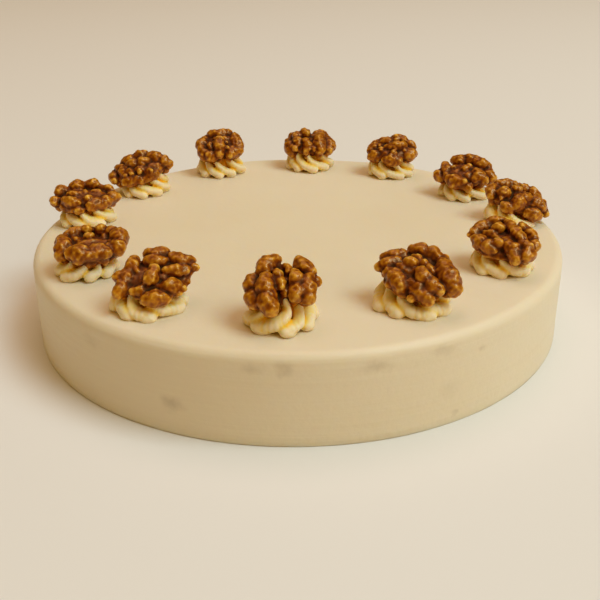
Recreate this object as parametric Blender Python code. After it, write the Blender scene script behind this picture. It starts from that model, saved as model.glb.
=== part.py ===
"""Round frosted layer cake with a dozen piped rosettes, each topped by a glazed walnut half.

Metres, +Z up. The origin is the middle of the cake's underside, +Y is the far side and +X the right.
Rosettes and walnuts are numbered as the hours of a clock face seen from above, 12 at the far side.
"""
import math
import random

import bmesh
import bpy
from mathutils import Matrix, Vector

MM = 0.001

# Cake
CAKE_RADIUS = 114.3 * MM
CAKE_HEIGHT = 36.5 * MM
RIM_ROUNDING = 4.0 * MM
RIM_STEPS = 3
CAKE_SIDES = 96

# Piped rosettes
ROSETTE_RADIUS = 14.2 * MM
ROSETTE_TOP_RADIUS = 8.6 * MM
ROSETTE_RIDGES = 8
POINTS_PER_RIDGE = 4
ROSETTE_RINGS = 4
GROOVE_DEPTH = 0.24
ROSETTE_TWIST = math.radians(62)
RESTING_GAP = 0.3 * MM

# hour: (bearing past the hour, clockwise degrees; distance from the middle, mm)
ROSETTE_PLACES = {
    12: (4.0, 97.5), 1: (0.5, 97.0), 2: (0.0, 95.0), 3: (-7.0, 98.0), 4: (-2.5, 92.0), 5: (1.0, 87.0),
    6: (4.0, 89.0), 7: (6.0, 92.5), 8: (3.0, 94.5), 9: (9.0, 97.0), 10: (7.0, 95.5), 11: (5.5, 97.5),
}

# hour: (shift to the right mm, seat above the cake mm, turn, lean forward, roll to the right in degrees,
#        height of the kernel's solid middle mm)
WALNUT_PLACES = {
    12: (0.0, 8.0, -1, 8, 0, 8.0), 1: (0.0, 8.0, -6, 10, 0, 8.0), 2: (0.0, 6.8, -11, 10, 0, 8.0),
    3: (1.0, 5.0, -14, 8, 16, 7.5), 4: (0.0, 8.0, -14, 18, 0, 6.0), 5: (1.5, 9.0, -8, 24, 0, 6.5),
    6: (1.2, 11.0, 1, 26, 0, 5.0), 7: (2.0, 8.3, 10, 24, 0, 5.5), 8: (2.0, 6.2, 14, 4, 0, 5.0),
    9: (0.0, 7.5, 14, 5, 0, 6.0), 10: (0.0, 7.6, 10, 4, -14, 8.5), 11: (0.0, 9.5, 5, 10, 0, 9.0),
}

# Folds of each walnut half: one end (right, back, up), the other end and the width, in mm, measured
# from the middle of the kernel's underside.
WALNUT_FOLDS = {
    12: ((-10.5, 2, 4.5, -9.5, -5, 2.5, 5.5), (-6.5, 4, 8, -6, -4, 6, 4.5), (-2.2, 3, 9, -2.2, 7, 7.5, 5),
         (-1.6, -3, 7.5, -1.1, -8, 3.5, 4), (5.4, 1, 8, 5.6, -7.5, 4.5, 6), (9.5, 2, 6, 11, -4.5, 3, 5),
         (4, 7, 7, 9, 6, 5.5, 5), (-7, 8, 6, -10, 5, 5, 4.5)),
    1: ((-8, 4, 5.5, -10, 0, 4, 4.6), (-10.5, -2, 3.2, -7.5, -5.5, 2.5, 4.6), (-3.5, 4, 7, 4.5, 6, 8.4, 4.2),
        (4.5, 6, 8.4, 11.5, 2.5, 5.5, 4.2), (-1.5, -2, 7, 6, -1.5, 8, 4.6), (-2.5, -7.5, 3, 3.5, -8.5, 2.8, 4.6),
        (8.5, -5, 4, 11.5, -1.5, 4, 4.8), (-6.5, 7, 5, -2, 9, 5, 4.5), (2, 9, 5, 7, 7.5, 5, 4.5)),
    2: ((-13, 1, 3.5, -12.6, -3, 2.5, 3.8), (-10, 3.5, 6.5, -9, -3, 4.5, 4.2), (-5.5, 7, 7.5, 3.5, 8, 8, 4.6),
        (-0.8, -1.5, 7.5, 0, -2, 7, 3.6), (-7, -6.5, 3.8, -1, -9, 3.2, 5.2), (0.5, -9.5, 2.5, 2, -9.5, 1.8, 3.6),
        (5, 5, 8, 9.5, 3, 6.5, 5), (10.5, 1, 5, 12, -3, 3.5, 4.8), (4.5, -3.5, 6.5, 8, -6, 4, 5.2)),
    3: ((-12.5, -2, 4, -11.5, 4.5, 5, 4.4), (-10, 7, 6, -3, 9, 6.5, 4.4), (0, 9, 6.5, 8, 7, 6.5, 4.4),
        (-8, -1.5, 6.5, -6, -1, 7, 4.4), (-2.5, 1.5, 8.5, -1.5, 1.5, 8.5, 3.6), (-1, -6, 5, 3, -1, 7, 5.6),
        (-5.5, -7, 3.5, -2.5, -8, 3, 4.2), (7, 1.5, 7, 10, -2, 5.5, 5), (6, -7, 3.5, 10, -5.5, 3, 5),
        (11, 4, 5, 13, -1.5, 3.5, 4)),
    4: ((-12, 3, 4.5, -7.5, 8.5, 4.8, 4.2), (-7.5, 8.5, 4.8, -1.5, 10.5, 5.2, 4.2), (-13, 1.5, 4, -10, 2.5, 4, 3),
        (-3, 4, 7, -2, 3.5, 7, 3.6), (-10.5, -2, 5, -3.8, -7, 5, 4.8), (-2.5, -5.5, 6.5, -1.8, -5.5, 6.5, 3.5),
        (1, 8, 6.5, 5, 0, 7.5, 3.6), (5, 0, 7.5, 10, -7.5, 6, 3.6), (1.5, -3.5, 6, 5.5, -10.5, 4, 5),
        (6, 8.5, 5, 11, 3, 5, 3.8), (11, 3, 5, 12.2, -4, 4.5, 3.6), (8.5, -9.5, 4.5, 10.5, -8, 4.5, 4.6),
        (-7, 2, 5.5, -3, 0, 5.5, 3)),
    5: ((-12.5, 7, 4.2, -6.5, 9, 4.8, 4), (-13.8, 2.7, 4, -8.5, 4.8, 5, 4.2), (-10, -1, 5, -5.8, -7, 5, 5),
        (-3.2, 3, 7, -2.4, 2.2, 7, 3.8), (-7, 1.5, 5.5, -3.5, -1, 5.5, 3.6), (0.5, -2.5, 7.5, 6.8, -9, 6, 4.4),
        (-2.4, -6, 5, 3.5, -11.5, 4, 5.2), (-2, 11.5, 4.5, 6.8, 8, 5, 4.4), (-1.6, 6.7, 6, 4.7, -0.5, 6, 2.8),
        (9.2, 8, 4.5, 9.6, 7.6, 4.5, 2.4), (8.7, 2.5, 5.5, 12.3, -6.5, 4.5, 6.8), (8, 5.5, 5, 9, 3, 5, 4)),
    6: ((-3.5, 10.5, 5, -7.5, 5.5, 5.5, 5), (-11, 2.5, 4, -10, -7, 3, 5), (-6.5, 0, 6.5, -4.8, -10.5, 4, 5.6),
        (-2.3, 4, 6.5, -0.8, -2.5, 6.5, 2.6), (0.5, 8, 5, 2, 4.5, 6, 2.4), (5.5, 9.5, 5, 9.3, 4.5, 5.5, 4.6),
        (11, 1.8, 4, 11.9, 1.2, 3.8, 3.2), (4.2, 2.5, 7, 4.2, -6.5, 5.5, 4), (8.3, 1, 5.5, 8, -6, 4, 5)),
    7: ((-6.3, 8, 5, -13.2, -6, 3, 4.4), (-12.7, 1.5, 4, -12, 1, 4, 3.2), (-1, 9.5, 5.5, 4.3, 9, 5.5, 5.2),
        (-1.5, 6, 6, 3.5, 5, 6, 4.5), (-2.1, -4.8, 7, 0.2, -0.5, 8, 4.2), (-7.5, -7, 4, -2, -5.5, 5, 3.4),
        (-3, -10.5, 4, 2.5, -10.5, 4, 5), (4.5, -6.8, 4.8, 7, -6, 4.5, 5), (5, 0, 6.2, 11.5, 0.5, 5.5, 4),
        (7.3, 6.5, 5.5, 13.3, 4.7, 5, 4.8), (14.2, 2.3, 5, 14.8, 1.8, 5, 2.8)),
    8: ((-9.8, 4, 6, -11, -3, 3.5, 5.5), (-7, -7, 5.2, -1, -9, 5, 6), (0.5, -8.5, 5, 5.5, -8, 5.2, 5.6),
        (8.5, -6, 5, 11, -3, 5, 5.6), (11.3, 3, 7, 11.8, -1, 6, 5.8), (8.5, 7, 7, 10.5, 4, 7, 4.5),
        (-8, 7.5, 7, -4, 9, 7.2, 3.8), (-1.5, 9, 7.4, 0.5, 9, 7.4, 3.6), (4, 8.5, 7.4, 6, 8.5, 7.4, 3.8),
        (-0.5, 2.5, 7, 0.5, 2.5, 7, 3.6), (-4, -1.5, 6, 2.5, -0.5, 6, 2.8), (-6, 3.5, 5, -3, 5, 5, 3),
        (-2, -8.5, 1.6, -1, -8.5, 1.6, 3.2)),
    9: ((-13.5, 1, 3.6, -14, -2, 3.6, 4), (-11.5, 4, 6, -9, 5, 6, 4.4), (-4.5, 6.5, 6.8, -2, 7, 6.8, 5.2),
        (2, 7.5, 7, 5, 6.5, 6.8, 4.2), (8, 5, 5.8, 12, 2, 5, 3.6), (-9, -5, 5, -4.5, -7.5, 5, 4.6),
        (-9.5, -5, 2.4, -6, -7, 2.4, 4), (-4, -8, 2, -3, -9.5, 1.8, 3.4), (1, -8, 3, 7, -6, 3, 4.8),
        (7, -6, 3.2, 13.5, -1.5, 4, 4), (-7, 0, 6, -3, -1, 6, 3), (2, 1, 5.5, 6, 0, 5.5, 2.6)),
    10: ((-13.5, 3, 4.3, -14, -3, 3.6, 4.4), (-10.5, 4, 6.5, -8, -4, 6, 4.2), (-7, 5.5, 7.5, 3, 7, 8.5, 4.6),
         (-4.5, -1, 8.5, 4, -3, 8, 4.2), (7, 1, 8.5, 13.5, -2, 3.5, 5), (-8, -8, 3, -1, -8.5, 2, 4.8),
         (1, -8, 2, 6, -7, 2.5, 5), (4, 6, 7, 9, 4, 6, 4.4), (-7, -4.5, 6, 1, -6, 5.5, 3.6)),
    11: ((0, -3, 9.5, -0.3, -9, 4.5, 5), (-8.5, 3, 7, -10, -4, 5, 5), (-9.5, -4, 3, -6, -7.5, 3, 5),
         (-6, -8, 4, -3.5, -9, 2.5, 4.6), (8, 3, 8, 9.5, -4, 4, 5.5), (9, -4, 4, 5, -8.5, 4, 5),
         (-4, 5, 9, 4.5, 5, 9, 5), (-6, 8, 6, 5, 9, 6, 4.6), (-5, -2, 7, -5, -5, 6, 3)),
}
FOLD_SWELL = 1.22
FOLD_STEP = 0.40
ROOT_DEPTH = 0.6 * MM
KERNEL_VOXEL = 0.9 * MM
KERNEL_TRIANGLES = 480

# Finishes: linear colour, roughness
FROSTING = ((0.80, 0.66, 0.42), 0.50)
PIPED_CREAM = ((0.84, 0.71, 0.46), 0.45)
GLAZED_WALNUT = ((0.31, 0.12, 0.02), 0.30)


def clear_scene():
    for old in list(bpy.data.objects):
        bpy.data.objects.remove(old, do_unlink=True)


def make_material(name, finish):
    colour, roughness = finish
    material = bpy.data.materials.new(name)
    material.use_nodes = True
    shader = material.node_tree.nodes["Principled BSDF"]
    shader.inputs["Base Color"].default_value = (*colour, 1.0)
    shader.inputs["Roughness"].default_value = roughness
    shader.inputs["Metallic"].default_value = 0.0
    return material


def add_object(name, bm, material, matrix=None):
    mesh = bpy.data.meshes.new(name)
    bmesh.ops.recalc_face_normals(bm, faces=bm.faces)
    bm.to_mesh(mesh)
    bm.free()
    mesh.materials.append(material)
    mesh.shade_smooth()
    mesh.set_sharp_from_angle(angle=math.radians(50))
    piece = bpy.data.objects.new(name, mesh)
    bpy.context.scene.collection.objects.link(piece)
    if matrix is not None:
        piece.matrix_world = matrix
    return piece


def make_cake(material):
    """A straight-sided disc with a rounded top rim and a sharp, flat foot."""
    bm = bmesh.new()
    bmesh.ops.create_cone(
        bm, cap_ends=True, segments=CAKE_SIDES,
        radius1=CAKE_RADIUS, radius2=CAKE_RADIUS, depth=CAKE_HEIGHT,
    )
    bmesh.ops.translate(bm, verts=bm.verts, vec=(0, 0, CAKE_HEIGHT / 2))
    rim = [e for e in bm.edges if all(v.co.z > CAKE_HEIGHT - 0.1 * MM for v in e.verts)]
    bmesh.ops.bevel(
        bm, geom=rim, offset=RIM_ROUNDING, segments=RIM_STEPS, profile=0.5, affect="EDGES",
    )
    return add_object("frosted_cake", bm, material)


def rosette_centre(hour):
    past, distance = ROSETTE_PLACES[hour]
    bearing = math.radians(90 - 30 * hour - past)
    reach = distance * MM
    return Vector((reach * math.cos(bearing), reach * math.sin(bearing), CAKE_HEIGHT))


def walnut_matrix(hour):
    """Where a kernel's underside lies: on its rosette, leaning towards the front."""
    shift, seat, turn, lean, roll, _ = WALNUT_PLACES[hour]
    return (
        Matrix.Translation(rosette_centre(hour) + Vector((0, 0, seat * MM)))
        @ Matrix.Rotation(math.radians(turn), 4, "Z")
        @ Matrix.Translation((shift * MM, 0, 0))
        @ Matrix.Rotation(math.radians(lean), 4, "X")
        @ Matrix.Rotation(math.radians(roll), 4, "Y")
    )


def seat_height(hour, x, y):
    """Height above the rosette's foot at which the kernel's underside passes over a point."""
    matrix = walnut_matrix(hour)
    normal = matrix.to_3x3() @ Vector((0, 0, 1))
    start = matrix.translation - rosette_centre(hour)
    return start.z - ((x - start.x) * normal.x + (y - start.y) * normal.y) / normal.z


def ridge_radius(angle, rise):
    """Outline of the swirl: rounded ridges with sharp grooves, closing in towards the top."""
    body = ROSETTE_RADIUS + (ROSETTE_TOP_RADIUS - ROSETTE_RADIUS) * rise ** 1.5
    crest = abs(math.sin(angle * ROSETTE_RIDGES / 2)) ** 0.75
    foot_tuck = 0.06 * (1 - rise) ** 8
    return body * (1 - GROOVE_DEPTH * (1 - crest) - foot_tuck)


def make_rosette(hour, material):
    """A star-tip swirl, cut off on top by the plane that its walnut sits on."""
    bm = bmesh.new()
    around = ROSETTE_RIDGES * POINTS_PER_RIDGE
    rings = []
    for level in range(ROSETTE_RINGS):
        rise = level / (ROSETTE_RINGS - 1)
        twist = ROSETTE_TWIST * rise
        ring = []
        for step in range(around):
            angle = math.tau * step / around
            radius = ridge_radius(angle, rise)
            x = radius * math.cos(angle - twist)
            y = radius * math.sin(angle - twist)
            top = seat_height(hour, x, y) - RESTING_GAP
            ring.append(bm.verts.new((x, y, RESTING_GAP + rise * (top - RESTING_GAP))))
        rings.append(ring)
    for lower, upper in zip(rings, rings[1:]):
        for step in range(around):
            after = (step + 1) % around
            bm.faces.new((lower[step], lower[after], upper[after]))
            bm.faces.new((lower[step], upper[after], upper[step]))
    bm.faces.new(reversed(rings[0]))
    bm.faces.new(rings[-1])
    return add_object(f"rosette_{hour:02d}", bm, material, Matrix.Translation(rosette_centre(hour)))


def add_knob(bm, centre, radii, turn=0.0):
    """One rounded lump of the kernel, flattened where it would reach below the underside."""
    place = Matrix.Translation(centre) @ Matrix.Rotation(turn, 4, "Z") @ Matrix.Diagonal((*radii, 1.0))
    lump = bmesh.ops.create_icosphere(bm, subdivisions=2, radius=1.0, matrix=place)
    for vert in lump["verts"]:
        vert.co.z = max(vert.co.z, 0.0)


def add_fold(bm, fold, rng):
    """A fold is a row of knobs, each standing on a root that reaches down to the underside."""
    start = Vector(fold[0:3]) * MM
    end = Vector(fold[3:6]) * MM
    width = fold[6] * FOLD_SWELL * MM
    run = end - start
    turn = math.atan2(run.y, run.x)
    count = 1 + round(run.length / (FOLD_STEP * width))
    for index in range(count):
        along = index / (count - 1) if count > 1 else 0.5
        radius = width / 2 * rng.uniform(0.86, 1.10)
        wander = Vector([rng.uniform(-0.08, 0.08) * width for _ in range(3)])
        centre = start + run * along + wander
        add_knob(bm, centre, (1.05 * radius, 0.97 * radius, radius), turn)
        top = centre.z + 0.7 * radius
        root = Vector((0.97 * centre.x, 0.97 * centre.y, top / 2 - ROOT_DEPTH))
        add_knob(bm, root, (0.86 * radius, 0.86 * radius, top / 2 + ROOT_DEPTH))


def add_core(bm, hour):
    """The solid middle that ties the folds together."""
    folds = WALNUT_FOLDS[hour]
    middle_height = WALNUT_PLACES[hour][5] * MM
    sizes = []
    middle = []
    for axis in (0, 1):
        low = min(min(fold[axis], fold[axis + 3]) - fold[6] / 2 for fold in folds)
        high = max(max(fold[axis], fold[axis + 3]) + fold[6] / 2 for fold in folds)
        sizes.append((high - low) * MM)
        middle.append((high + low) / 2 * MM)
    centre = Vector((middle[0], middle[1], middle_height / 2 - ROOT_DEPTH))
    add_knob(bm, centre, (0.40 * sizes[0], 0.38 * sizes[1], middle_height / 2 + ROOT_DEPTH))


def make_walnut(hour, material):
    """Half a kernel, folds up: its knobs are fused into one skin and that skin is thinned out."""
    rng = random.Random(hour)
    bm = bmesh.new()
    for fold in WALNUT_FOLDS[hour]:
        add_fold(bm, fold, rng)
    add_core(bm, hour)
    walnut = add_object(f"walnut_{hour:02d}", bm, material, walnut_matrix(hour))
    fuse = walnut.modifiers.new("fuse", "REMESH")
    fuse.mode = "VOXEL"
    fuse.voxel_size = KERNEL_VOXEL
    fused = walnut.evaluated_get(bpy.context.evaluated_depsgraph_get()).to_mesh()
    thin = walnut.modifiers.new("thin", "DECIMATE")
    thin.ratio = KERNEL_TRIANGLES / (2 * len(fused.polygons))
    return walnut


def main():
    clear_scene()
    frosting = make_material("frosting", FROSTING)
    cream = make_material("piped_cream", PIPED_CREAM)
    glaze = make_material("glazed_walnut", GLAZED_WALNUT)
    make_cake(frosting)
    for hour in sorted(ROSETTE_PLACES):
        make_rosette(hour, cream)
        make_walnut(hour, glaze)


main()
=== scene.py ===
"""Looks of a frosted carrot cake: spread frosting, a dozen piped swirls and a dozen glazed walnut halves.

Metres, +Z up, +Y the far side. Swirls and kernels carry the hours of a clock face seen from above.
"""
import math
import random

import bmesh
import bpy
import numpy as np
from mathutils import Matrix, Vector


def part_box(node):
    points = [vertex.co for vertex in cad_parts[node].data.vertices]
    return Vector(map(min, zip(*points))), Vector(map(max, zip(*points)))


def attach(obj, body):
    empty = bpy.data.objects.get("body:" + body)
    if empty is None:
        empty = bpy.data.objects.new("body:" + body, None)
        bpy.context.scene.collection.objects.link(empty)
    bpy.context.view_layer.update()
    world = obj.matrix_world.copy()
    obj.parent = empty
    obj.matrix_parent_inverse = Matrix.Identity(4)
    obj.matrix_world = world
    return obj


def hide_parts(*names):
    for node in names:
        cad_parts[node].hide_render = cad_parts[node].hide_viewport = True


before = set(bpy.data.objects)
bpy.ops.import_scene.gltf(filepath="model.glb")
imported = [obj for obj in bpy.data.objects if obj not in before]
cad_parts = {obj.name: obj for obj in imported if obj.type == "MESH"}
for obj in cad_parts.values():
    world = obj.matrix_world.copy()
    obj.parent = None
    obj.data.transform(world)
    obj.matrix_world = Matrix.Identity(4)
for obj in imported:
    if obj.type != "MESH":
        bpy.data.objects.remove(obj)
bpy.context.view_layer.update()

MM = 0.001
HOURS = range(1, 13)
UP = Vector((0, 0, 1))

# Cake: a side, a rounded rim and a flat top, each in a number of courses
CAKE_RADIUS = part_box("frosted_cake")[1][0]
CAKE_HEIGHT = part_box("frosted_cake")[1][2]
CAKE_SIDES = 240
FOOT_ROUNDING = 0.5 * MM
SIDE_COURSES = 10
RIM_ROUNDING = 4.0 * MM
RIM_COURSES = 7
TOP_COURSES = 18

# Waves left by spreading: their length, their height and how much of that lies inwards
SPREAD_LENGTH = 45 * MM
SPREAD_HEIGHT = 0.7 * MM
SPREAD_INWARDS = 0.75

# Places where crumb shows through the side: bearing in degrees, height, half width and half height in mm,
# and how strongly
THIN_SPOTS = (
    (-112.9, 12.6, 7.0, 4.5, 0.55), (-92.3, 31.2, 5.0, 4.0, 0.45), (-98.0, 30.6, 5.5, 3.5, 0.35),
    (-76.5, 30.2, 8.0, 3.6, 0.45), (-64.0, 31.4, 8.0, 3.2, 0.30), (-131.3, 27.6, 7.0, 4.5, 0.22),
    (-55.4, 28.0, 3.0, 2.0, 0.35), (-60.5, 4.4, 2.2, 2.0, 0.40), (-62.4, 14.8, 7.0, 5.0, 0.15),
)

# Swirls and kernels both start as a small ball that knobs are added to
START_BALL = 2 * MM
SKIN_SMOOTHING = 0.5

# Piped swirls: one ridge from its foot to its top, as shares of the swirl's height, foot radius and turn,
# and of its width round the swirl, outwards and upwards
FOOT_RADIUS = 13.3 * MM
RIDGES = 8
RIDGE_COURSE = (
    (0.10, 0.72, 0.00, 0.62, 0.70, 0.54), (0.13, 0.80, -0.08, 0.74, 0.76, 0.56),
    (0.18, 0.80, -0.06, 0.64, 0.80, 0.60), (0.26, 0.75, 0.12, 0.50, 0.88, 0.64),
    (0.38, 0.69, 0.38, 0.43, 0.92, 0.66), (0.55, 0.62, 0.68, 0.37, 0.86, 0.66),
    (0.78, 0.55, 0.92, 0.33, 0.76, 0.62), (1.03, 0.45, 1.00, 0.32, 0.62, 0.50),
)
COURSE_EASE = 0.3
RIDGE_WIDTH = 7.2 * MM
RIDGE_KNOBS = 24
RIDGE_TOE = 0.4
BOW_RISE = 0.2
BOW_SPAN = 0.1

# How unevenly the ridges were piped: degrees between feet, shares of width, of the toe's reach and of the
# turn, degrees of sway, and share of the height that a ridge is lifted by
UNEVEN_FOOT = (-5, 5)
UNEVEN_WIDTH = (0.84, 1.10)
UNEVEN_REACH = (0.93, 1.03)
UNEVEN_TURN = (0.85, 1.15)
UNEVEN_SWAY = (-6, 6)
UNEVEN_LIFT = (-0.02, 0.05)

# Solid middle of a swirl: rises of its knobs, and their radius, taper and thickness in foot radii
HEART_RISES = (0.05, 0.25, 0.45, 0.65, 0.85)
HEART_RADIUS = 0.54
HEART_TAPER = 0.18
HEART_THICKNESS = 0.20

# How far a swirl presses into its kernel and sinks into the frosting
PRESSED_IN = 1.4 * MM
SUNK_IN = 0.7 * MM

SWIRL_SEED = 100
SWIRL_VOXEL = 0.42 * MM
SWIRL_SMOOTHINGS = 3
SWIRL_WAVES = (("soft_cream", 4.5 * MM, 0.4 * MM), ("torn_cream", 1.6 * MM, 0.18 * MM))
# Smoothing passes for the hollows that the cream's painted shade is read from
SWIRL_PASSES = {"hollow": 14, "cleft": 90}

# How wide a swirl's foot is beside the others, where it differs
SWIRL_SPREAD = {5: 1.18, 6: 1.08, 7: 1.12, 8: 0.95}

# How each swirl was turned while piped: bearing of one ridge's foot, turn on the way up clockwise, and how
# far its ridges bow back near the foot, all in degrees
SWIRL_TURNS = {
    12: (-90, 44, -8), 1: (-80, 52, -8), 2: (-95, 42, 0), 3: (-100, 52, -8),
    4: (-70, 42, -16), 5: (-95, 34, -20), 6: (-111, -32, 20), 7: (-98, 34, -20),
    8: (-105, -28, 18), 9: (-100, 52, -8), 10: (-95, 52, -6), 11: (-100, 46, -6),
}

# Kernels, placed as in the frame: shift to the right mm, seat above the cake mm, turn, lean forward and
# roll to the right in degrees, height of the solid middle mm
KERNEL_PLACES = {
    12: (0.0, 8.0, -1, 8, 0, 8.0), 1: (0.0, 8.0, -6, 10, 0, 8.0), 2: (0.0, 6.8, -11, 10, 0, 8.0),
    3: (1.0, 5.0, -14, 8, 16, 7.5), 4: (0.0, 8.0, -14, 18, 0, 6.0), 5: (1.5, 9.0, -8, 24, 0, 6.5),
    6: (1.2, 11.0, 1, 26, 0, 5.0), 7: (2.0, 8.3, 10, 24, 0, 5.5), 8: (2.0, 6.2, 14, 4, 0, 5.0),
    9: (0.0, 7.5, 14, 5, 0, 6.0), 10: (0.0, 7.6, 10, 4, -14, 8.5), 11: (0.0, 9.5, 5, 10, 0, 9.0),
}

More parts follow.
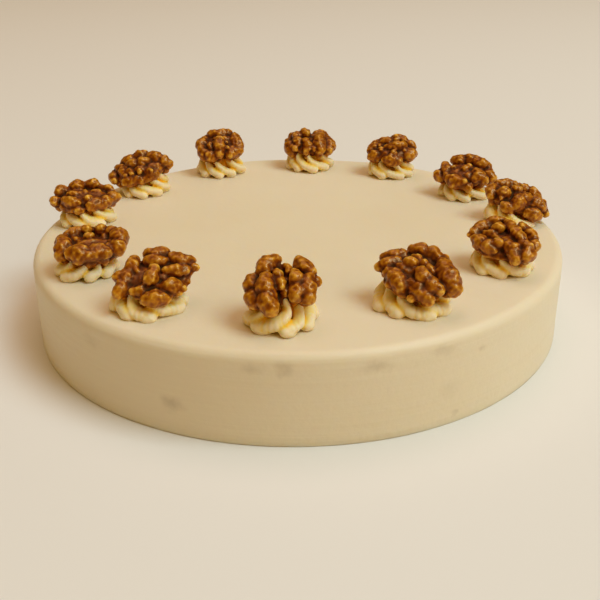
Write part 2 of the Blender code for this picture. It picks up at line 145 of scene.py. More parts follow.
# Folds of each kernel: one end (right, back, up), the other end and the width, in mm
KERNEL_FOLDS = {
    12: (
        (-10.5, 2, 4.5, -9.5, -5, 2.5, 5.5), (-6.5, 4, 8, -6, -4, 6, 4.5),
        (-2.2, 3, 9, -2.2, 7, 7.5, 5), (-1.6, -3, 7.5, -1.1, -8, 3.5, 4),
        (5.4, 1, 8, 5.6, -7.5, 4.5, 6), (9.5, 2, 6, 11, -4.5, 3, 5), (4, 7, 7, 9, 6, 5.5, 5),
        (-7, 8, 6, -10, 5, 5, 4.5),
    ),
    1: (
        (-8, 4, 5.5, -10, 0, 4, 4.6), (-10.5, -2, 3.2, -7.5, -5.5, 2.5, 4.6),
        (-3.5, 4, 7, 4.5, 6, 8.4, 4.2), (4.5, 6, 8.4, 11.5, 2.5, 5.5, 4.2),
        (-1.5, -2, 7, 6, -1.5, 8, 4.6), (-2.5, -7.5, 3, 3.5, -8.5, 2.8, 4.6),
        (8.5, -5, 4, 11.5, -1.5, 4, 4.8), (-6.5, 7, 5, -2, 9, 5, 4.5), (2, 9, 5, 7, 7.5, 5, 4.5),
    ),
    2: (
        (-13, 1, 3.5, -12.6, -3, 2.5, 3.8), (-10, 3.5, 6.5, -9, -3, 4.5, 4.2),
        (-5.5, 7, 7.5, 3.5, 8, 8, 4.6), (-0.8, -1.5, 7.5, 0, -2, 7, 3.6),
        (-7, -6.5, 3.8, -1, -9, 3.2, 5.2), (0.5, -9.5, 2.5, 2, -9.5, 1.8, 3.6),
        (5, 5, 8, 9.5, 3, 6.5, 5), (10.5, 1, 5, 12, -3, 3.5, 4.8), (4.5, -3.5, 6.5, 8, -6, 4, 5.2),
    ),
    3: (
        (-12.5, -2, 4, -11.5, 4.5, 5, 4.4), (-10, 7, 6, -3, 9, 6.5, 4.4), (0, 9, 6.5, 8, 7, 6.5, 4.4),
        (-8, -1.5, 6.5, -6, -1, 7, 4.4), (-2.5, 1.5, 8.5, -1.5, 1.5, 8.5, 3.6),
        (-1, -6, 5, 3, -1, 7, 5.6), (-5.5, -7, 3.5, -2.5, -8, 3, 4.2), (7, 1.5, 7, 10, -2, 5.5, 5),
        (6, -7, 3.5, 10, -5.5, 3, 5), (11, 4, 5, 13, -1.5, 3.5, 4),
    ),
    4: (
        (-12, 3, 4.5, -7.5, 8.5, 4.8, 4.2), (-7.5, 8.5, 4.8, -1.5, 10.5, 5.2, 4.2),
        (-13, 1.5, 4, -10, 2.5, 4, 3), (-3, 4, 7, -2, 3.5, 7, 3.6), (-10.5, -2, 5, -3.8, -7, 5, 4.8),
        (-2.5, -5.5, 6.5, -1.8, -5.5, 6.5, 3.5), (1, 8, 6.5, 5, 0, 7.5, 3.6),
        (5, 0, 7.5, 10, -7.5, 6, 3.6), (1.5, -3.5, 6, 5.5, -10.5, 4, 5), (6, 8.5, 5, 11, 3, 5, 3.8),
        (11, 3, 5, 12.2, -4, 4.5, 3.6), (8.5, -9.5, 4.5, 10.5, -8, 4.5, 4.6),
        (-7, 2, 5.5, -3, 0, 5.5, 3),
    ),
    5: (
        (-12.5, 7, 4.2, -6.5, 9, 4.8, 4), (-13.8, 2.7, 4, -8.5, 4.8, 5, 4.2),
        (-10, -1, 5, -5.8, -7, 5, 5), (-3.2, 3, 7, -2.4, 2.2, 7, 3.8),
        (-7, 1.5, 5.5, -3.5, -1, 5.5, 3.6), (0.5, -2.5, 7.5, 6.8, -9, 6, 4.4),
        (-2.4, -6, 5, 3.5, -11.5, 4, 5.2), (-2, 11.5, 4.5, 6.8, 8, 5, 4.4),
        (-1.6, 6.7, 6, 4.7, -0.5, 6, 2.8), (9.2, 8, 4.5, 9.6, 7.6, 4.5, 2.4),
        (8.7, 2.5, 5.5, 12.3, -6.5, 4.5, 6.8), (8, 5.5, 5, 9, 3, 5, 4),
    ),
    6: (
        (-3.5, 10.5, 5, -7.5, 5.5, 5.5, 5), (-11, 2.5, 4, -10, -7, 3, 5),
        (-6.5, 0, 6.5, -4.8, -10.5, 4, 5.6), (-2.3, 4, 6.5, -0.8, -2.5, 6.5, 2.6),
        (0.5, 8, 5, 2, 4.5, 6, 2.4), (5.5, 9.5, 5, 9.3, 4.5, 5.5, 4.6),
        (11, 1.8, 4, 11.9, 1.2, 3.8, 3.2), (4.2, 2.5, 7, 4.2, -6.5, 5.5, 4), (8.3, 1, 5.5, 8, -6, 4, 5),
    ),
    7: (
        (-6.3, 8, 5, -13.2, -6, 3, 4.4), (-12.7, 1.5, 4, -12, 1, 4, 3.2),
        (-1, 9.5, 5.5, 4.3, 9, 5.5, 5.2), (-1.5, 6, 6, 3.5, 5, 6, 4.5),
        (-2.1, -4.8, 7, 0.2, -0.5, 8, 4.2), (-7.5, -7, 4, -2, -5.5, 5, 3.4),
        (-3, -10.5, 4, 2.5, -10.5, 4, 5), (4.5, -6.8, 4.8, 7, -6, 4.5, 5),
        (5, 0, 6.2, 11.5, 0.5, 5.5, 4), (7.3, 6.5, 5.5, 13.3, 4.7, 5, 4.8),
        (14.2, 2.3, 5, 14.8, 1.8, 5, 2.8),
    ),
    8: (
        (-9.8, 4, 6, -11, -3, 3.5, 5.5), (-7, -7, 5.2, -1, -9, 5, 6), (0.5, -8.5, 5, 5.5, -8, 5.2, 5.6),
        (8.5, -6, 5, 11, -3, 5, 5.6), (11.3, 3, 7, 11.8, -1, 6, 5.8), (8.5, 7, 7, 10.5, 4, 7, 4.5),
        (-8, 7.5, 7, -4, 9, 7.2, 3.8), (-1.5, 9, 7.4, 0.5, 9, 7.4, 3.6),
        (4, 8.5, 7.4, 6, 8.5, 7.4, 3.8), (-0.5, 2.5, 7, 0.5, 2.5, 7, 3.6),
        (-4, -1.5, 6, 2.5, -0.5, 6, 2.8), (-6, 3.5, 5, -3, 5, 5, 3),
        (-2, -8.5, 1.6, -1, -8.5, 1.6, 3.2),
    ),
    9: (
        (-13.5, 1, 3.6, -14, -2, 3.6, 4), (-11.5, 4, 6, -9, 5, 6, 4.4),
        (-4.5, 6.5, 6.8, -2, 7, 6.8, 5.2), (2, 7.5, 7, 5, 6.5, 6.8, 4.2), (8, 5, 5.8, 12, 2, 5, 3.6),
        (-9, -5, 5, -4.5, -7.5, 5, 4.6), (-9.5, -5, 2.4, -6, -7, 2.4, 4),
        (-4, -8, 2, -3, -9.5, 1.8, 3.4), (1, -8, 3, 7, -6, 3, 4.8), (7, -6, 3.2, 13.5, -1.5, 4, 4),
        (-7, 0, 6, -3, -1, 6, 3), (2, 1, 5.5, 6, 0, 5.5, 2.6),
    ),
    10: (
        (-13.5, 3, 4.3, -14, -3, 3.6, 4.4), (-10.5, 4, 6.5, -8, -4, 6, 4.2),
        (-7, 5.5, 7.5, 3, 7, 8.5, 4.6), (-4.5, -1, 8.5, 4, -3, 8, 4.2), (7, 1, 8.5, 13.5, -2, 3.5, 5),
        (-8, -8, 3, -1, -8.5, 2, 4.8), (1, -8, 2, 6, -7, 2.5, 5), (4, 6, 7, 9, 4, 6, 4.4),
        (-7, -4.5, 6, 1, -6, 5.5, 3.6),
    ),
    11: (
        (0, -3, 9.5, -0.3, -9, 4.5, 5), (-8.5, 3, 7, -10, -4, 5, 5), (-9.5, -4, 3, -6, -7.5, 3, 5),
        (-6, -8, 4, -3.5, -9, 2.5, 4.6), (8, 3, 8, 9.5, -4, 4, 5.5), (9, -4, 4, 5, -8.5, 4, 5),
        (-4, 5, 9, 4.5, 5, 9, 5), (-6, 8, 6, 5, 9, 6, 4.6), (-5, -2, 7, -5, -5, 6, 3),
    ),
}

# Shape of a fold: how much wider it is than listed, its knobs' spacing and its lobes' length in widths,
# how deep the lobes are and how long their knobs, and how unevenly it bends, swells and narrows
FOLD_SWELL = 1.22
FOLD_STEP = 0.20
LOBE_LENGTH = 0.95
LOBE_DEPTH = 0.15
LOBE_STRETCH = 1.04
UNEVEN_BEND = (-0.10, 0.10)
UNEVEN_SIZE = (0.95, 1.08)
UNEVEN_LOBE = (-0.04, 0.04)

# Roots of the folds: share of a knob that they reach up to, their shift inwards, their width, their depth
ROOT_TOP = 0.7
ROOT_INWARDS = 0.86
ROOT_WIDTH = 0.78
ROOT_DEPTH = 0.6 * MM

# Solid middle of a kernel: the shares of its width and of its length that it fills
CORE_ACROSS = 0.84
CORE_ALONG = 0.80
CORE_ALONG_OF = {6: 0.56}

# Small lumps between the folds: how far out they lie, their radii in mm, how long they are, the shares of
# the middle's height that they lie at in its centre and lose towards its edge, how far they sink in, and
# how much higher they and the solid middle rise in some kernels
CRUMPLES = 15
CRUMPLE_REACH = 0.82
CRUMPLE_RADII = (1.1, 2.0)
CRUMPLE_STRETCH = (1.0, 1.7)
CRUMPLE_TOP = 1.06
CRUMPLE_FALL = 0.55
CRUMPLE_SINK = 0.5
CRUMPLE_RISE = {8: 2.2 * MM, 9: 0.8 * MM, 7: 0.8 * MM}

KERNEL_VOXEL = 0.36 * MM
KERNEL_SMOOTHINGS = 2
KERNEL_WAVES = (("lumps", 3.2 * MM, 1.2 * MM), ("pimples", 1.2 * MM, 0.28 * MM))
# Smoothing passes for the hollows that the glaze's painted shade and light and its gloss are read from
KERNEL_PASSES = {"hollow": 16, "cleft": 120}

# Finishes
GRAIN_DEPTH = 0.12 * MM
FROSTING_DARK = (0.80, 0.675, 0.465)
FROSTING_LIGHT = (0.84, 0.725, 0.525)
CRUMB_COLOUR = (0.52, 0.40, 0.25)
RAGGED_SCALE = 260.0
RAGGED_EDGE = 5 * MM
LINE_SCALE = (9, 9, 420)
LINE_COLOUR = (0.72, 0.60, 0.38)
LINE_STRENGTH = 0.10
LINE_DEPTH = 0.25 * MM
FROSTING_FINISH = {
    "Roughness": 0.5,
    "Subsurface Weight": 0.3,
    "Subsurface Radius": (1.0, 0.7, 0.35),
    "Subsurface Scale": 4 * MM,
}

# Cream from its grooves to its crests: the crests keep the cream's own colour, and painted shade deepens it
# to amber yellow towards the grooves. The higher it lies, the more painted shade and painted amber bounce
# light from the kernel turn it yellow
CREAM_COLOURS_WITH_PAINTED_SHADE = (
    (0.08, (0.98, 0.46, 0.005)),
    (0.36, (0.96, 0.61, 0.07)),
    (0.62, (0.95, 0.71, 0.25)),
    (0.88, (0.94, 0.77, 0.50)),
)
CREAM_HOLLOWS = (-0.26, 0.20)
CREAM_CLEFTS = (-0.70, 0.70)
# Heights above the cake between which painted shade and bounce light from the kernel yellow the cream, and
# how strongly
CREAM_SHADE = (3 * MM, 11 * MM)
CREAM_SHADE_STRENGTH = 0.25
CREAM_FINISH = {
    "Roughness": 0.45,
    "Specular IOR Level": 0.2,
    "Specular Tint": (1.0, 0.85, 0.55),
    "Subsurface Weight": 0.35,
    "Subsurface Radius": (1.0, 0.62, 0.2),
    "Subsurface Scale": 1.5 * MM,
}

# Glaze from the clefts between the folds to their crests: the kernel's own amber brown, darkened almost to
# black red in the clefts by painted shade and brightened to gold on the crests by painted light
GLAZE_COLOURS_WITH_PAINTED_SHADE_AND_LIGHT = (
    (0.14, (0.026, 0.001, 0.0001)),
    (0.40, (0.112, 0.012, 0.0003)),
    (0.58, (0.268, 0.062, 0.001)),
    (0.76, (0.500, 0.192, 0.007)),
    (0.94, (0.800, 0.470, 0.060)),
)
GLAZE_HOLLOWS = (-0.30, 0.34)
GLAZE_CLEFTS = (-0.9, 1.0)
GLAZE_DARK = (0.70, 0.62, 0.55)
GLAZE_LIGHT = (1.25, 1.25, 1.25)
GLAZE_FINISH = {
    "Specular IOR Level": 0.6,
    "Specular Tint": (1.0, 0.68, 0.25),
    "Coat Roughness": 0.12,
    "Coat Tint": (1.0, 0.85, 0.55),
}

# Room: its floor, its glow and its wall, and each soft light's bearing and angle above the table in
# degrees, distance, size, watts and colour
FLOOR_SIZE = 8
FLOOR_FINISH = {"Base Color": (0.82, 0.79, 0.74), "Roughness": 0.8}
GLOW_COLOUR = (1.0, 0.65, 0.16)
GLOW_STRENGTH = 0.30
WALL_COLOUR = (0.66, 0.60, 0.51)
SOFTBOXES = {
    "window": (-24, 56, 3.0, 1.5, 54.0, (0.68, 0.90, 1.0)),
    "ceiling": (90, 78, 3.2, 2.4, 30.0, (1.0, 0.74, 0.70)),
    "low_side": (-40, 22, 3.2, 1.6, 12.0, (1.0, 0.74, 0.50)),
}

# Camera: its place, how far it points down and to the right, its tilt and its lens
CAMERA_PLACE = (0.0, -0.3737, 0.1796)
CAMERA_DOWN = 25.36
CAMERA_RIGHT = 0.13
CAMERA_TILT = -0.52
CAMERA_LENS = 53.9
CAMERA_SENSOR = 36


# ---------------------------------------------------------------- modelling helpers

def deselect_all():
    if bpy.context.object and bpy.context.object.mode != "OBJECT":
        bpy.ops.object.mode_set(mode="OBJECT")
    bpy.ops.object.select_all(action="DESELECT")


def pick(piece):
    deselect_all()
    piece.select_set(True)
    bpy.context.view_layer.objects.active = piece


def select_points(piece, test):
    """In edit mode, leaves only the points selected that pass the test."""
    bm = bmesh.from_edit_mesh(piece.data)
    for element in (*bm.faces, *bm.edges, *bm.verts):
        element.select = False
    for vert in bm.verts:
        vert.select = test(vert.co)
    bm.select_flush_mode()
    bmesh.update_edit_mesh(piece.data)


def apply_modifier(piece, kind, **settings):
    pick(piece)
    modifier = piece.modifiers.new(kind.lower(), kind)
    for setting, value in settings.items():
        setattr(modifier, setting, value)
    bpy.ops.object.modifier_apply(modifier=modifier.name)


def wave(piece, name, length, height, space, inwards=0.5, group=""):
    """Moves the skin in and out in soft waves of a length and a height."""
    clouds = bpy.data.textures.new(name, "CLOUDS")
    clouds.noise_scale = length
    clouds.noise_depth = 1
    apply_modifier(
        piece, "DISPLACE", texture=clouds, texture_coords=space, strength=height, mid_level=inwards,
        vertex_group=group,
    )


def start_ball(centre):
    """A small ball in edit mode, for the knobs of a piece to be added to."""
    deselect_all()
    bpy.ops.mesh.primitive_ico_sphere_add(subdivisions=2, radius=START_BALL, location=centre)
    ball = bpy.context.object
    bpy.ops.object.transform_apply(location=True, rotation=True, scale=True)
    bpy.ops.object.mode_set(mode="EDIT")
    return ball


def add_knob(centre, radii, turn=0.0):
    bpy.ops.mesh.primitive_ico_sphere_add(
        subdivisions=2, radius=1, location=centre, rotation=(0, 0, turn), scale=radii,
    )


def fuse_knobs(piece, voxel, smoothings, waves, space):
    """Runs a piece's knobs together into one skin, softens it and gives it its waves."""
    bpy.ops.object.mode_set(mode="OBJECT")
    apply_modifier(piece, "REMESH", mode="VOXEL", voxel_size=voxel)
    apply_modifier(piece, "SMOOTH", factor=SKIN_SMOOTHING, iterations=smoothings)
    for name, length, height in waves:
        wave(piece, name, length, height, space)


def flatten_below(piece, bottom):
    """Presses all that lies under a height flat onto it."""
    pick(piece)
    bpy.ops.object.mode_set(mode="EDIT")
    select_points(piece, lambda place: place.z < bottom)
    bpy.ops.transform.resize(value=(1, 1, 0), center_override=(0, 0, bottom))
    bpy.ops.object.mode_set(mode="OBJECT")


def read_mesh(items, field, size, kind):
    """One field of all points or edges of a mesh, a row for each."""
    values = np.empty(len(items) * size, kind)
    items.foreach_get(field, values)
    return values.reshape(-1, size)


def store_hollows(piece, name, passes):
    """Stores how far each point stands out from (+) or lies under (-) its smoothed skin, in mm."""
    mesh = piece.data
    count = len(mesh.vertices)
    places = read_mesh(mesh.vertices, "co", 3, np.float32).astype(float)
    normals = read_mesh(mesh.vertices, "normal", 3, np.float32)
    ends = read_mesh(mesh.edges, "vertices", 2, np.int32)
    neighbours = np.bincount(ends.ravel(), minlength=count)[:, None]
    smooth = places.copy()
    for _ in range(passes):
        total = np.zeros_like(smooth)
        for axis in range(3):
            total[:, axis] += np.bincount(ends[:, 0], smooth[ends[:, 1], axis], count)
            total[:, axis] += np.bincount(ends[:, 1], smooth[ends[:, 0], axis], count)
        smooth = 0.5 * smooth + 0.5 * total / neighbours
    stand = ((places - smooth) * normals).sum(axis=1) / MM
    mesh.attributes.new(name, "FLOAT", "POINT").data.foreach_set("value", stand.astype(np.float32))


def finish_piece(piece, name, node, material, hollows=None):
    """Stores the hollows, bakes the place into the mesh, gives the finish and ties it to the frame."""
    for attribute, passes in (hollows or {}).items():
        store_hollows(piece, attribute, passes)
    pick(piece)
    bpy.ops.object.transform_apply(location=True, rotation=True, scale=True)
    bpy.ops.object.shade_smooth()
    piece.name = name
    piece.data.name = name
    piece.data.materials.append(material)
    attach(piece, "root")
    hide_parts(node)


# ---------------------------------------------------------------- cake

def cake_profile():
    """Radius and height of each course, from the foot over the rim to the middle of the top."""
    rim = CAKE_RADIUS - RIM_ROUNDING
    straight = CAKE_HEIGHT - RIM_ROUNDING
    profile = [(CAKE_RADIUS - FOOT_ROUNDING, 0.0)]
    for course in range(SIDE_COURSES):
        profile.append((CAKE_RADIUS, FOOT_ROUNDING + (straight - FOOT_ROUNDING) * course / SIDE_COURSES))
    for course in range(RIM_COURSES + 1):
        angle = math.pi / 2 * course / RIM_COURSES
        profile.append((rim + RIM_ROUNDING * math.cos(angle), straight + RIM_ROUNDING * math.sin(angle)))
    for course in range(1, TOP_COURSES):
        profile.append((rim * (1 - course / TOP_COURSES), CAKE_HEIGHT))
    return profile


def make_cake(material):
    """A disc extruded course by course along its profile, then waved a little by hand spreading."""
    deselect_all()
    profile = cake_profile()
    bpy.ops.mesh.primitive_circle_add(vertices=CAKE_SIDES, radius=profile[0][0], fill_type="NGON")
    cake = bpy.context.object
    bpy.ops.object.mode_set(mode="EDIT")
    bpy.ops.mesh.select_all(action="SELECT")
    for (radius, height), (next_radius, next_height) in zip(profile, profile[1:]):
        rise = (0, 0, next_height - height)
        bpy.ops.mesh.extrude_region_move(TRANSFORM_OT_translate={"value": rise})
        scale = next_radius / radius
        bpy.ops.transform.resize(value=(scale, scale, 1), center_override=(0, 0, next_height))
    bpy.ops.mesh.poke()
    bpy.ops.mesh.select_all(action="SELECT")
    bpy.ops.mesh.normals_make_consistent(inside=False)
    bpy.ops.object.mode_set(mode="OBJECT")
    skin = cake.vertex_groups.new(name="skin")
    skin.add([vert.index for vert in cake.data.vertices if vert.co.z > FOOT_ROUNDING / 2], 1.0, "REPLACE")
    wave(cake, "hand_spread", SPREAD_LENGTH, SPREAD_HEIGHT, "LOCAL", SPREAD_INWARDS, skin.name)
    finish_piece(cake, "spread_frosting", "frosted_cake", material)


# ---------------------------------------------------------------- swirls

def swirl_centre(hour):
    low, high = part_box(f"rosette_{hour:02d}")
    return Vector(((low[0] + high[0]) / 2, (low[1] + high[1]) / 2, CAKE_HEIGHT))


def seat_height(hour, x, y):
    """Height above the cake of the plane that the kernel's underside lies in."""
    matrix = kernel_matrix(hour)
    origin = matrix.translation
    normal = matrix.to_3x3() @ UP
    return origin.z - (normal.x * (x - origin.x) + normal.y * (y - origin.y)) / normal.z - CAKE_HEIGHT


def along_course(share):
    """Rise, reach, turn and widths at a share of the way up a ridge."""
    steps = len(RIDGE_COURSE) - 1
    index = min(int(share * steps), steps - 1)
    blend = share * steps - index
    blend = blend * blend * (3 - 2 * blend) * COURSE_EASE + blend * (1 - COURSE_EASE)
    return [a + (b - a) * blend for a, b in zip(RIDGE_COURSE[index], RIDGE_COURSE[index + 1])]


def add_ridge(hour, bearing, rng):
    """One ridge of cream: a broad foot on the cake that curls round, narrows and climbs to the kernel."""
    centre = swirl_centre(hour)
    _, twist, bow = SWIRL_TURNS[hour]
    spread = SWIRL_SPREAD.get(hour, 1.0)
    width = RIDGE_WIDTH * spread * rng.uniform(*UNEVEN_WIDTH)
    stretch = rng.uniform(*UNEVEN_REACH)
    twist *= rng.uniform(*UNEVEN_TURN)
    bow *= rng.uniform(*UNEVEN_TURN)
    sway = rng.uniform(*UNEVEN_SWAY)
    lift = rng.uniform(*UNEVEN_LIFT)
    for knob in range(RIDGE_KNOBS):
        rise, reach, turn, across, outwards, upwards = along_course(knob / (RIDGE_KNOBS - 1))
        bowed = math.exp(-((rise - BOW_RISE) / BOW_SPAN) ** 2)
        angle = math.radians(bearing - twist * turn - bow * bowed + sway * math.sin(math.tau * rise))
        widened = 1 + (spread - 1) * (1 - rise)
        distance = FOOT_RADIUS * reach * (stretch if rise < RIDGE_TOE else 1.0) * widened
        x = centre.x + distance * math.cos(angle)
        y = centre.y + distance * math.sin(angle)
        height = (rise + lift) * (seat_height(hour, x, y) + PRESSED_IN)
        radii = (width / 2 * outwards, width / 2 * across, width / 2 * upwards)
        add_knob((x, y, CAKE_HEIGHT + height), radii, angle)


def add_heart(hour):
    """The solid middle of a swirl, narrowing towards the top."""
    centre = swirl_centre(hour)
    for rise in HEART_RISES:
        radius = FOOT_RADIUS * (HEART_RADIUS - HEART_TAPER * rise)
        height = rise * (seat_height(hour, centre.x, centre.y) + PRESSED_IN)
        place = (centre.x, centre.y, CAKE_HEIGHT + height)
        add_knob(place, (radius, radius, HEART_THICKNESS * FOOT_RADIUS))


def make_swirl(hour, material):
    """Eight ridges round a solid middle, fused into one soft skin and set flat on the frosting."""
    rng = random.Random(SWIRL_SEED + hour)
    swirl = start_ball(swirl_centre(hour))
    bearing = SWIRL_TURNS[hour][0]
    for ridge in range(RIDGES):
        add_ridge(hour, bearing + 360 * ridge / RIDGES + rng.uniform(*UNEVEN_FOOT), rng)
    add_heart(hour)
    fuse_knobs(swirl, SWIRL_VOXEL, SWIRL_SMOOTHINGS, SWIRL_WAVES, "GLOBAL")
    flatten_below(swirl, CAKE_HEIGHT - SUNK_IN)
    finish_piece(
        swirl, f"piped_swirl_{hour:02d}", f"rosette_{hour:02d}", material, SWIRL_PASSES,
    )


# ---------------------------------------------------------------- kernels

def kernel_matrix(hour):
    """Where a kernel's underside lies: on its swirl, leaning towards the front."""
    shift, seat, turn, lean, roll, _ = KERNEL_PLACES[hour]
    return (
        Matrix.Translation(swirl_centre(hour) + seat * MM * UP)
        @ Matrix.Rotation(math.radians(turn), 4, "Z")
        @ Matrix.Translation((shift * MM, 0, 0))
        @ Matrix.Rotation(math.radians(lean), 4, "X")
        @ Matrix.Rotation(math.radians(roll), 4, "Y")
    )


def add_fold(fold, rng):
    """A fold is a row of knobs run together into plump lobes, on roots that reach down to the underside."""
    start = Vector(fold[0:3]) * MM
    end = Vector(fold[3:6]) * MM
    width = fold[6] * FOLD_SWELL * MM
    run = end - start
    turn = math.atan2(run.y, run.x)
    sideways = Vector((-math.sin(turn), math.cos(turn), 0)) * width
    count = 1 + 2 * round(run.length / (2 * FOLD_STEP * width))
    lobes = max(1, round(run.length / (LOBE_LENGTH * width)))
    sway = rng.uniform(*UNEVEN_BEND)
    size = rng.uniform(*UNEVEN_SIZE)
    for index in range(count):
        along = index / (count - 1) if count > 1 else 0.5
        swelling = math.cos(math.tau * lobes * along)
        radius = width / 2 * size * (1 - LOBE_DEPTH * swelling + rng.uniform(*UNEVEN_LOBE))
        centre = start + run * along + sideways * sway * swelling
        add_knob(centre, (LOBE_STRETCH * radius, radius, radius), turn)
        if index % 2 == 0:
            top = centre.z + ROOT_TOP * radius
            root = Vector((ROOT_INWARDS * centre.x, ROOT_INWARDS * centre.y, top / 2 - ROOT_DEPTH))
            add_knob(root, (ROOT_WIDTH * radius, ROOT_WIDTH * radius, top / 2 + ROOT_DEPTH))


def kernel_extent(hour, axis):
    """Half size and middle of a kernel's folds along one axis."""
    folds = KERNEL_FOLDS[hour]
    low = min(min(fold[axis], fold[axis + 3]) - fold[6] / 2 for fold in folds)
    high = max(max(fold[axis], fold[axis + 3]) + fold[6] / 2 for fold in folds)
    return (high - low) / 2 * MM, (high + low) / 2 * MM


def add_core(hour):
    """The solid middle that ties the folds together."""
    height = KERNEL_PLACES[hour][5] * MM + CRUMPLE_RISE.get(hour, 0.0)
    (across, x), (along, y) = kernel_extent(hour, 0), kernel_extent(hour, 1)
    radii = (
        CORE_ACROSS * across, CORE_ALONG_OF.get(hour, CORE_ALONG) * along, height / 2 + ROOT_DEPTH,
    )
    add_knob(Vector((x, y, height / 2 - ROOT_DEPTH)), radii)


def add_crumples(hour, rng):
    """Small lumps that fill the hollows between the folds."""
    middle_height = KERNEL_PLACES[hour][5] * MM
    rise = CRUMPLE_RISE.get(hour, 0.0)
    (across, x), (along, y) = kernel_extent(hour, 0), kernel_extent(hour, 1)
    for _ in range(CRUMPLES):
        angle = rng.uniform(0, math.tau)
        share = CRUMPLE_REACH * math.sqrt(rng.random())
        radius = rng.uniform(*CRUMPLE_RADII) * MM
        height = middle_height * (CRUMPLE_TOP - CRUMPLE_FALL * share ** 2) - CRUMPLE_SINK * radius + rise
        centre = (x + across * share * math.cos(angle), y + along * share * math.sin(angle), height)
        stretch = rng.uniform(*CRUMPLE_STRETCH)
        add_knob(centre, (radius * stretch, radius, radius), rng.uniform(0, math.pi))


def make_kernel(hour, material):
    """Knobs set down fold by fold, fused into one skin, wrinkled, and leant on the swirl."""
    rng = random.Random(hour)
    kernel = start_ball((0, 0, START_BALL))
    for fold in KERNEL_FOLDS[hour]:
        add_fold(fold, rng)
    add_core(hour)
    add_crumples(hour, rng)
    fuse_knobs(kernel, KERNEL_VOXEL, KERNEL_SMOOTHINGS, KERNEL_WAVES, "LOCAL")
    kernel.matrix_world = kernel_matrix(hour)
    finish_piece(
        kernel, f"glazed_kernel_{hour:02d}", f"walnut_{hour:02d}", material, KERNEL_PASSES,
    )


# ---------------------------------------------------------------- nodes

def set_input(tree, socket, value):
    """Links a socket to the one given, or sets it to a plain value or colour."""
    if isinstance(value, bpy.types.NodeSocket):
        tree.links.new(value, socket)
    elif socket.type == "RGBA":
        socket.default_value = (*value, 1)
    else:
        socket.default_value = value


def add_node(tree, kind, inputs=(), **settings):
    """A node with its settings, and a value or a link for each input given."""
    node = tree.nodes.new(kind)
    for setting, value in settings.items():
        setattr(node, setting, value)
    for name, value in dict(inputs).items():
        set_input(tree, node.inputs[name], value)
    return node


def new_group(name, inputs, output):
    """An empty node group with named inputs and one number out, and its two ends."""
    group = bpy.data.node_groups.new(name, "ShaderNodeTree")
    for socket, kind in inputs.items():
        group.interface.new_socket(socket, in_out="INPUT", socket_type=kind)
    group.interface.new_socket(output, in_out="OUTPUT", socket_type="NodeSocketFloat")
    return group, add_node(group, "NodeGroupInput"), add_node(group, "NodeGroupOutput")


def new_material(name, finish):
    """A material with the plain values of its finish on the shader's own sockets."""
    material = bpy.data.materials.new(name)
    material.use_nodes = True
    tree = material.node_tree
    shader = tree.nodes["Principled BSDF"]
    for socket, value in finish.items():
        set_input(tree, shader.inputs[socket], value)
    return material, tree, shader


def object_place(tree):
    return add_node(tree, "ShaderNodeTexCoord").outputs["Object"]


def add_attribute(tree, name):
    return add_node(tree, "ShaderNodeAttribute", attribute_name=name).outputs["Fac"]


def add_range(tree, source, low, high, to_low=0.0, to_high=1.0):
    """Stretches a number from one range to another."""
    return add_node(tree, "ShaderNodeMapRange", {
        "Value": source, "From Min": low, "From Max": high, "To Min": to_low, "To Max": to_high,
    }).outputs["Result"]


def add_sum(tree, first, first_share, second, second_share):
    """Adds shares of two numbers."""
    scaled = add_node(tree, "ShaderNodeMath", {0: second, 1: second_share}, operation="MULTIPLY")
    return add_node(
        tree, "ShaderNodeMath", {0: first, 1: first_share, 2: scaled.outputs[0]}, operation="MULTIPLY_ADD",
    ).outputs[0]


def add_ramp(tree, source, stops):
    """Colours along a number from 0 to 1."""
    ramp = add_node(tree, "ShaderNodeValToRGB", {"Fac": source})
    while len(ramp.color_ramp.elements) < len(stops):
        ramp.color_ramp.elements.new(0.5)
    for element, (place, colour) in zip(ramp.color_ramp.elements, stops):
        element.position = place
        element.color = (*colour, 1)
    return ramp.outputs["Color"]


def add_mix(tree, share, first, second, blend="MIX"):
    """Mixes two colours; the share and each colour may be plain or a socket."""
    mix = add_node(tree, "ShaderNodeMix", {0: share}, data_type="RGBA", blend_type=blend)
    colour_inputs = [socket for socket in mix.inputs if socket.type == "RGBA"]
    for socket, colour in zip(colour_inputs, (first, second)):
        set_input(tree, socket, colour)
    return [socket for socket in mix.outputs if socket.type == "RGBA"][0]


def add_bump(tree, shader, height, distance, under=None):
    inputs = {"Strength": 1.0, "Distance": distance, "Height": height}
    if under:
        inputs["Normal"] = under
    normal = add_node(tree, "ShaderNodeBump", inputs).outputs["Normal"]
    tree.links.new(normal, shader.inputs["Normal"])
    return normal


def make_uneven_tone():
    """Slow and fast variation of tone over a surface, 0 to 1."""
    group, entry, leave = new_group(
        "uneven_tone", {"Scale": "NodeSocketFloat", "Contrast": "NodeSocketFloat"}, "Tone",
    )
    noise = add_node(group, "ShaderNodeTexNoise", {
        "Vector": object_place(group), "Scale": entry.outputs["Scale"], "Detail": 3.0, "Roughness": 0.55,
    })
    away = add_node(group, "ShaderNodeMath", {0: noise.outputs["Fac"], 1: 0.5}, operation="SUBTRACT")
    spread = add_node(
        group, "ShaderNodeMath", {0: away.outputs[0], 1: entry.outputs["Contrast"], 2: 0.5},
        operation="MULTIPLY_ADD", use_clamp=True,
    )
    group.links.new(spread.outputs[0], leave.inputs["Tone"])
    return group


def add_tone(tree, group, scale, contrast):
    """The uneven tone with a scale and a contrast of its own."""
    return add_node(
        tree, "ShaderNodeGroup", {"Scale": scale, "Contrast": contrast}, node_tree=group,
    ).outputs["Tone"]


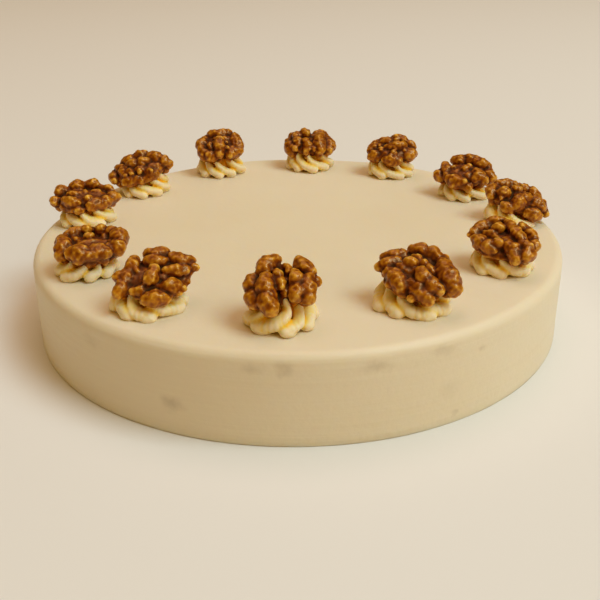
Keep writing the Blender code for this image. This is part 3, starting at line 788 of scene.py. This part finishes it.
def make_thin_spot():
    """A soft irregular patch round one place, 1 in its middle and 0 outside."""
    group, entry, leave = new_group(
        "thin_spot",
        {"Centre": "NodeSocketVector", "Width": "NodeSocketFloat", "Height": "NodeSocketFloat"}, "Mask",
    )
    vector = "ShaderNodeVectorMath"
    place = object_place(group)
    ragged = add_node(group, "ShaderNodeTexNoise", {"Vector": place, "Scale": RAGGED_SCALE, "Detail": 2.0})
    shifted = add_node(
        group, vector, {0: ragged.outputs["Color"], 1: [RAGGED_EDGE] * 3, 2: place},
        operation="MULTIPLY_ADD",
    )
    evened = add_node(
        group, vector, {0: shifted.outputs["Vector"], 1: [RAGGED_EDGE / 2] * 3}, operation="SUBTRACT",
    )
    away = add_node(
        group, vector, {0: evened.outputs["Vector"], 1: entry.outputs["Centre"]}, operation="SUBTRACT",
    )
    width = entry.outputs["Width"]
    sizes = add_node(
        group, "ShaderNodeCombineXYZ", {"X": width, "Y": width, "Z": entry.outputs["Height"]},
    )
    shares = add_node(
        group, vector, {0: away.outputs["Vector"], 1: sizes.outputs["Vector"]}, operation="DIVIDE",
    )
    distance = add_node(group, vector, {0: shares.outputs["Vector"]}, operation="LENGTH")
    fade = add_node(
        group, "ShaderNodeMapRange", {"Value": distance.outputs["Value"], "To Min": 1.0, "To Max": 0.0},
        interpolation_type="SMOOTHSTEP",
    )
    group.links.new(fade.outputs["Result"], leave.inputs["Mask"])
    return group


# ---------------------------------------------------------------- finishes

def add_thin_spots(tree, colour):
    """Lets crumb show through the colour of the frosting at each thin spot."""
    group = make_thin_spot()
    for bearing, height, width, tall, strength in THIN_SPOTS:
        bearing = math.radians(bearing)
        centre = (CAKE_RADIUS * math.cos(bearing), CAKE_RADIUS * math.sin(bearing), height * MM)
        spot = add_node(
            tree, "ShaderNodeGroup", node_tree=group,
            inputs={"Centre": centre, "Width": width * MM, "Height": tall * MM},
        )
        share = add_range(tree, spot.outputs["Mask"], 0, 1, 0, strength)
        colour = add_mix(tree, share, colour, CRUMB_COLOUR)
    return colour


def add_lines(tree):
    """Level lines left round the side by the scraper: noise that changes fast with height only."""
    stretch = add_node(tree, "ShaderNodeMapping", {"Vector": object_place(tree), "Scale": LINE_SCALE})
    return add_node(tree, "ShaderNodeTexNoise", {
        "Vector": stretch.outputs["Vector"], "Scale": 1.0, "Detail": 3.0,
    }).outputs["Fac"]


def make_frosting(tone_group):
    """Smooth off-white cream: scraper lines round the side, and crumb showing through where it is thin."""
    material, tree, shader = new_material("spread_frosting", FROSTING_FINISH)
    tone = add_tone(tree, tone_group, 14.0, 1.6)
    colour = add_thin_spots(tree, add_mix(tree, tone, FROSTING_DARK, FROSTING_LIGHT))
    lines = add_lines(tree)
    line_share = add_range(tree, lines, 0.35, 0.65, 0, LINE_STRENGTH)
    colour = add_mix(tree, line_share, colour, LINE_COLOUR)
    tree.links.new(colour, shader.inputs["Base Color"])
    grain = add_bump(tree, shader, add_tone(tree, tone_group, 420.0, 1.0), GRAIN_DEPTH)
    add_bump(tree, shader, lines, LINE_DEPTH, grain)
    return material


def add_depth(tree, hollows, hollow_share, clefts, cleft_share):
    """From 0 in the clefts to 1 on the crests, out of the narrow and the broad hollows."""
    near = add_range(tree, add_attribute(tree, "hollow"), *hollows)
    far = add_range(tree, add_attribute(tree, "cleft"), *clefts)
    return add_sum(tree, near, hollow_share, far, cleft_share)


def make_cream(tone_group):
    """Soft piped cream, made yellower in its grooves by painted shade, and under the glazed kernel by
    painted shade and painted bounce light.
    """
    material, tree, shader = new_material("piped_cream", CREAM_FINISH)
    crest = add_depth(tree, CREAM_HOLLOWS, 0.4, CREAM_CLEFTS, 0.6)
    # Painted shade and bounce light from the kernel: the higher the cream lies, the yellower
    height = add_node(tree, "ShaderNodeSeparateXYZ", {"Vector": object_place(tree)}).outputs["Z"]
    high = add_range(tree, height, CAKE_HEIGHT + CREAM_SHADE[0], CAKE_HEIGHT + CREAM_SHADE[1])
    depth = add_sum(tree, crest, 1.0, high, -CREAM_SHADE_STRENGTH)
    # The ramp paints shade: amber yellow in the grooves and under the kernel, the cream's own colour on the
    # crests
    tree.links.new(add_ramp(tree, depth, CREAM_COLOURS_WITH_PAINTED_SHADE), shader.inputs["Base Color"])
    add_bump(tree, shader, add_tone(tree, tone_group, 600.0, 1.0), GRAIN_DEPTH)
    return material


def make_glaze(tone_group):
    """Amber glaze over walnut: painted light makes the crests gold, the flanks keep a brown, and painted
    shade makes the clefts almost black red.
    """
    material, tree, shader = new_material("glazed_walnut", GLAZE_FINISH)
    depth = add_depth(tree, GLAZE_HOLLOWS, 0.55, GLAZE_CLEFTS, 0.45)
    # Colour with painted shade darkening the clefts and painted light turning the crests gold; the mottle
    # is the kernel's own uneven tone
    skin = add_ramp(tree, depth, GLAZE_COLOURS_WITH_PAINTED_SHADE_AND_LIGHT)
    mottle = add_mix(tree, add_tone(tree, tone_group, 420.0, 2.2), GLAZE_DARK, GLAZE_LIGHT)
    tree.links.new(add_mix(tree, 1.0, skin, mottle, "MULTIPLY"), shader.inputs["Base Color"])
    tree.links.new(add_range(tree, depth, 0.20, 0.50, 0.80, 0.30), shader.inputs["Roughness"])
    tree.links.new(add_range(tree, depth, 0.40, 0.85, 0.0, 0.25), shader.inputs["Coat Weight"])
    add_bump(tree, shader, add_tone(tree, tone_group, 900.0, 1.0), GRAIN_DEPTH)
    return material


# ---------------------------------------------------------------- stage

def make_floor():
    deselect_all()
    bpy.ops.mesh.primitive_plane_add(size=FLOOR_SIZE)
    floor = bpy.context.object
    floor.name = "floor"
    material, _, _ = new_material("pale_floor", FLOOR_FINISH)
    floor.data.materials.append(material)


def add_softbox(name, bearing, height, distance, size, watts, colour):
    """A square of soft light aimed at the cake, placed by its bearing and its angle above the table."""
    light = bpy.data.lights.new(name, "AREA")
    light.size = size
    light.energy = watts
    light.color = colour
    holder = bpy.data.objects.new(name, light)
    bpy.context.scene.collection.objects.link(holder)
    bearing = math.radians(bearing)
    height = math.radians(height)
    place = distance * Vector((
        math.cos(height) * math.cos(bearing), math.cos(height) * math.sin(bearing), math.sin(height),
    ))
    holder.location = place
    holder.rotation_euler = (-place).to_track_quat("-Z", "Y").to_euler()


def make_lights():
    """Warm light all round behind a pale wall, and three soft lights."""
    world = bpy.data.worlds.new("soft_room")
    bpy.context.scene.world = world
    world.use_nodes = True
    tree = world.node_tree
    glow = tree.nodes["Background"]
    set_input(tree, glow.inputs["Color"], GLOW_COLOUR)
    set_input(tree, glow.inputs["Strength"], GLOW_STRENGTH)
    wall = add_node(tree, "ShaderNodeBackground", {"Color": WALL_COLOUR})
    ray = add_node(tree, "ShaderNodeLightPath")
    either = add_node(tree, "ShaderNodeMixShader", {
        0: ray.outputs["Is Camera Ray"], 1: glow.outputs["Background"], 2: wall.outputs["Background"],
    })
    tree.links.new(either.outputs["Shader"], tree.nodes["World Output"].inputs["Surface"])
    for name, settings in SOFTBOXES.items():
        add_softbox(name, *settings)


def make_camera():
    camera = bpy.data.cameras.new("camera")
    camera.sensor_width = CAMERA_SENSOR
    camera.lens = CAMERA_LENS
    holder = bpy.data.objects.new("camera", camera)
    bpy.context.scene.collection.objects.link(holder)
    holder.matrix_world = (
        Matrix.Translation(CAMERA_PLACE)
        @ Matrix.Rotation(-math.radians(CAMERA_RIGHT), 4, "Z")
        @ Matrix.Rotation(math.radians(90 - CAMERA_DOWN), 4, "X")
        @ Matrix.Rotation(math.radians(CAMERA_TILT), 4, "Z")
    )
    bpy.context.scene.camera = holder


def main():
    tone = make_uneven_tone()
    frosting = make_frosting(tone)
    cream = make_cream(tone)
    glaze = make_glaze(tone)
    make_cake(frosting)
    for hour in HOURS:
        make_swirl(hour, cream)
        make_kernel(hour, glaze)
    make_floor()
    make_lights()
    make_camera()
    bpy.context.scene.view_settings.view_transform = "Standard"


main()
